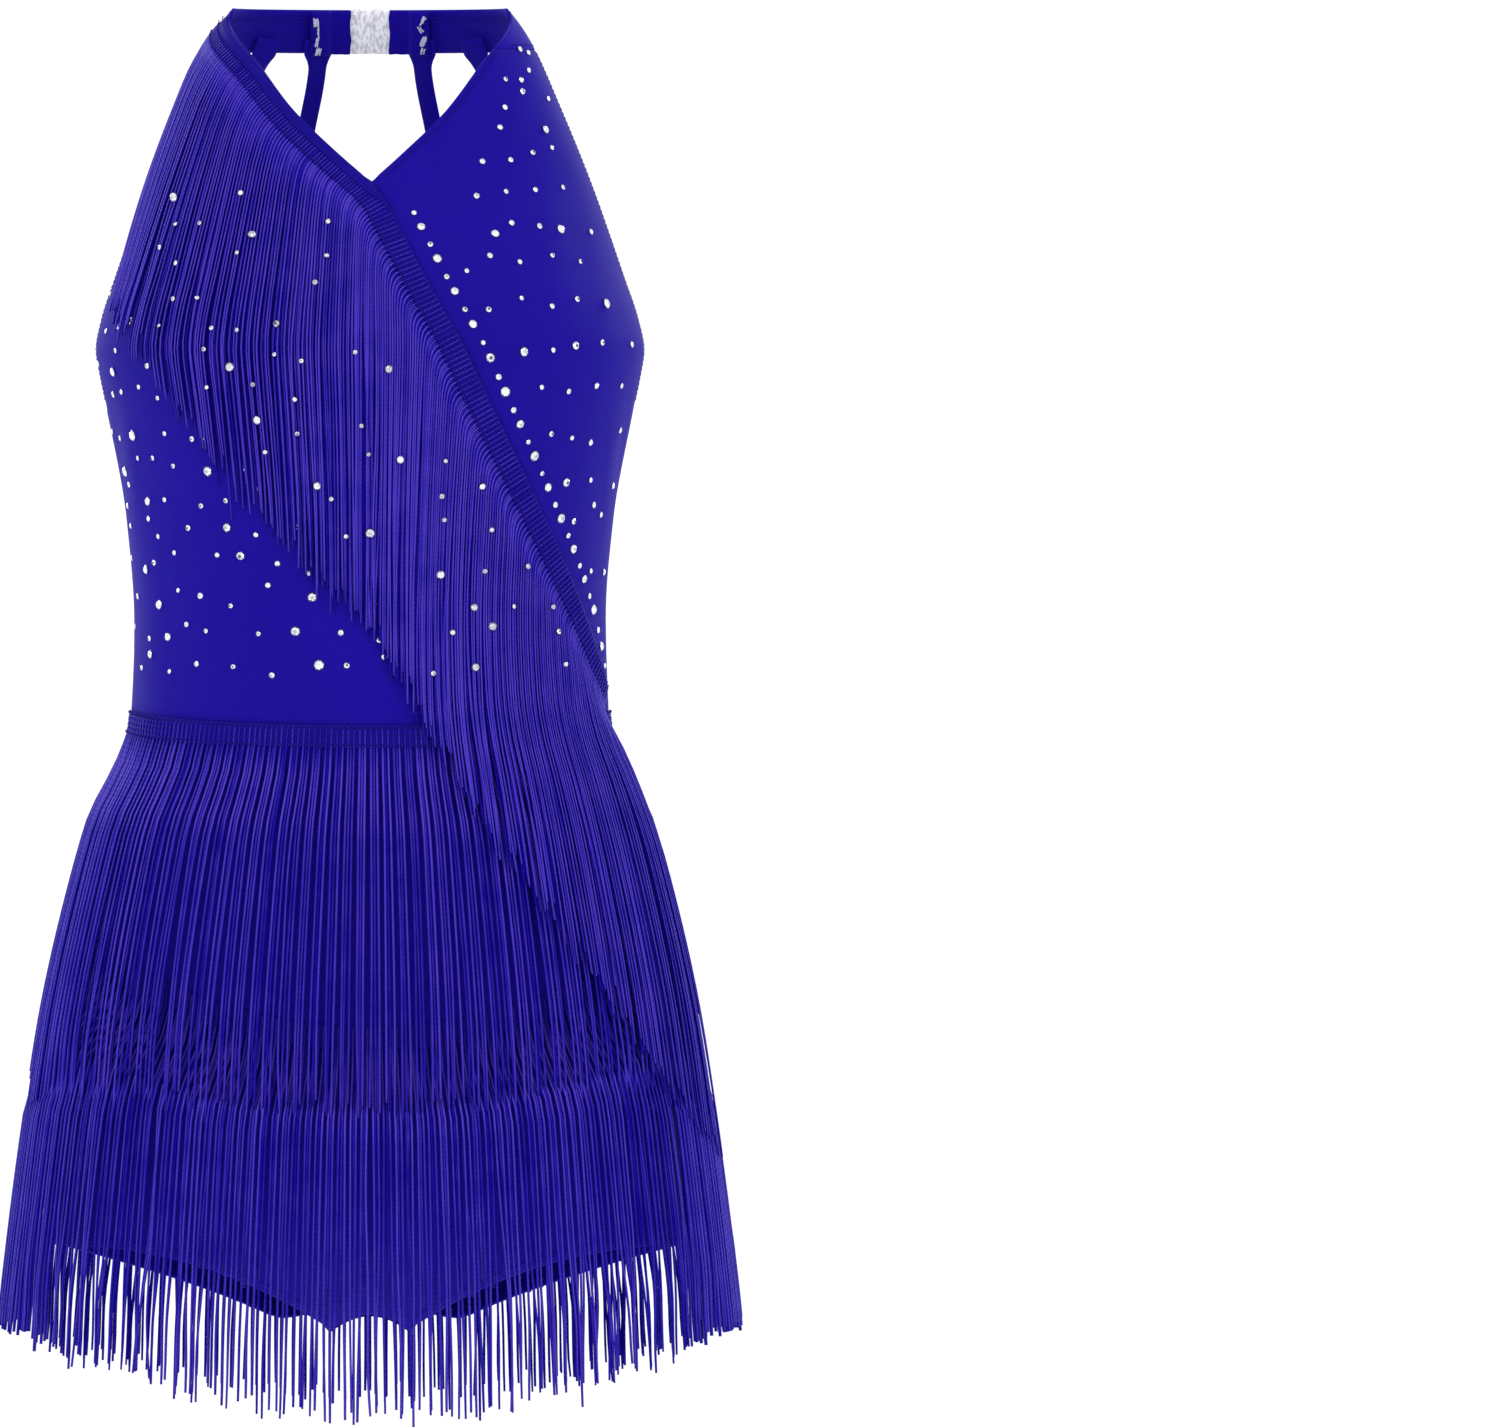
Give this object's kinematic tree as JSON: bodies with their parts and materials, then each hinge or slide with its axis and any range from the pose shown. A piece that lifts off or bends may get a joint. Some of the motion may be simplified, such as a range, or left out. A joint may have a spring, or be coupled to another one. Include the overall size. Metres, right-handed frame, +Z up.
{
  "type": "latin dance leotard",
  "caption": "Halter dance leotard with a V neck, strappy open back, a diagonal fringe across the bodice and tiers of fringe from waist to hem.",
  "frame": {"origin": "middle of the neck opening, level with the middle of the collar band", "axes": "+Z up, +Y to the wearer's back, so the front faces -Y and +X is the wearer's left"},
  "size_m": [0.3882, 0.2654, 0.733],
  "materials": {
    "cloth": "royal blue stretch knit with a soft sheen",
    "trim": "turned and stitched royal blue stretch knit",
    "fringe": "twisted royal blue rayon cord",
    "clear_plastic": "clear moulded plastic"
  },
  "bodies": {
    "root": {"front_wrap_panel": "cloth", "front_overlap_panel": "cloth", "back_panel": "cloth", "brief_front": "cloth", "brief_back": "cloth", "gusset": "cloth", "collar_left": "cloth", "collar_right": "cloth", "collar_tab_left": "trim", "collar_tab_right": "trim", "neckline_hem_left": "trim", "neckline_hem_right": "trim", "armhole_hem_left": "trim", "armhole_hem_right": "trim", "back_edge_hem": "trim", "leg_hem_front_a": "trim", "leg_hem_front_b": "trim", "leg_hem_back_a": "trim", "leg_hem_back_b": "trim", "strap_outer_left": "trim", "strap_inner_left": "trim", "strap_inner_right": "trim", "strap_outer_right": "trim", "clasp_hook": "clear_plastic", "clasp_eye": "clear_plastic", "diagonal_fringe": "fringe", "waist_fringe_front": "fringe", "waist_fringe_back": "fringe", "middle_fringe_back": "fringe", "lower_fringe_front": "fringe", "lower_fringe_back": "fringe"}
  },
  "joints": []
}
